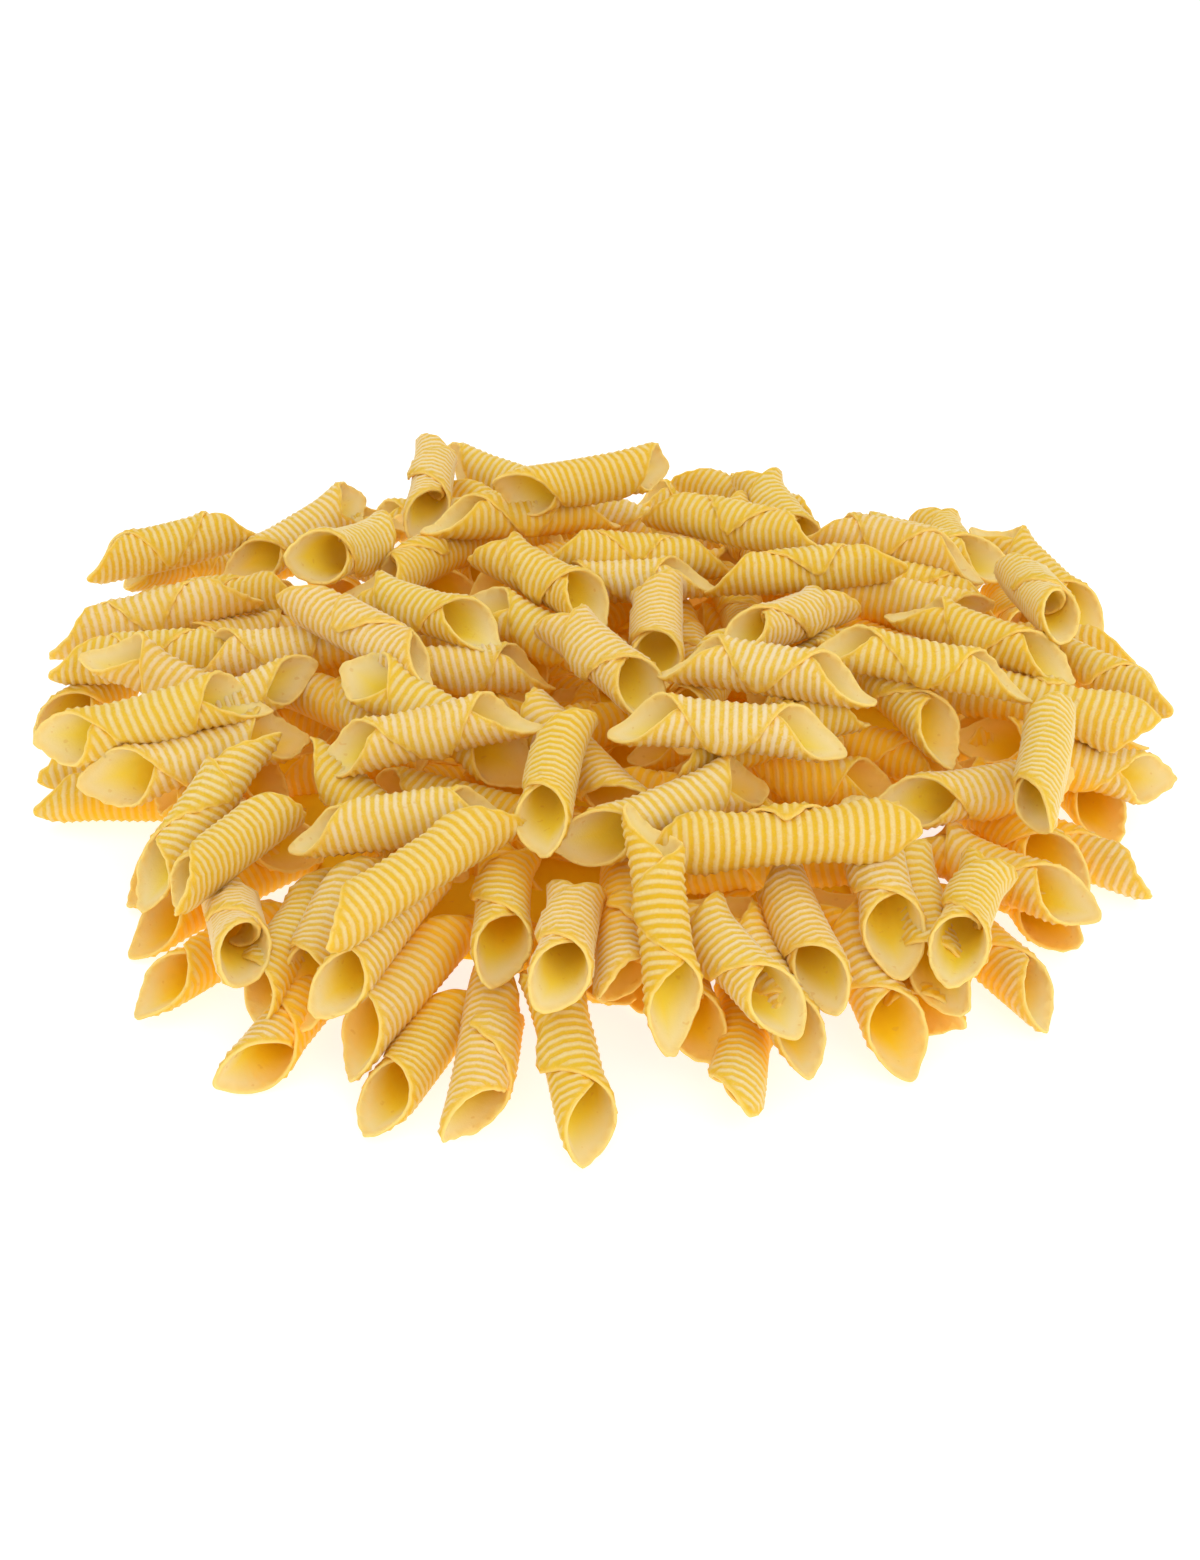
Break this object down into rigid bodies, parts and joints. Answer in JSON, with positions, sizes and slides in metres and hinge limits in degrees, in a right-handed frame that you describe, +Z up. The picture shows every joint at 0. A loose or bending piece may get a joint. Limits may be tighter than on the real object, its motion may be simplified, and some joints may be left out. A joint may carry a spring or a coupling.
{
  "type": "heap of egg garganelli",
  "caption": "Loose heap of rolled, ribbed egg pasta quills with pointed open ends, lying on a bare surface.",
  "frame": {"origin": "middle of the heap's footprint, on the surface that it lies on", "axes": "+Z up, -Y towards the viewer and the heap's front fan, +X to the viewer's right"},
  "size_m": [0.2723, 0.2959, 0.0562],
  "materials": {
    "egg_pasta": "matt dried egg dough, golden yellow with paler floury crests"
  },
  "bodies": {
    "root": {"egg_garganelli_heap": "egg_pasta"}
  },
  "joints": []
}
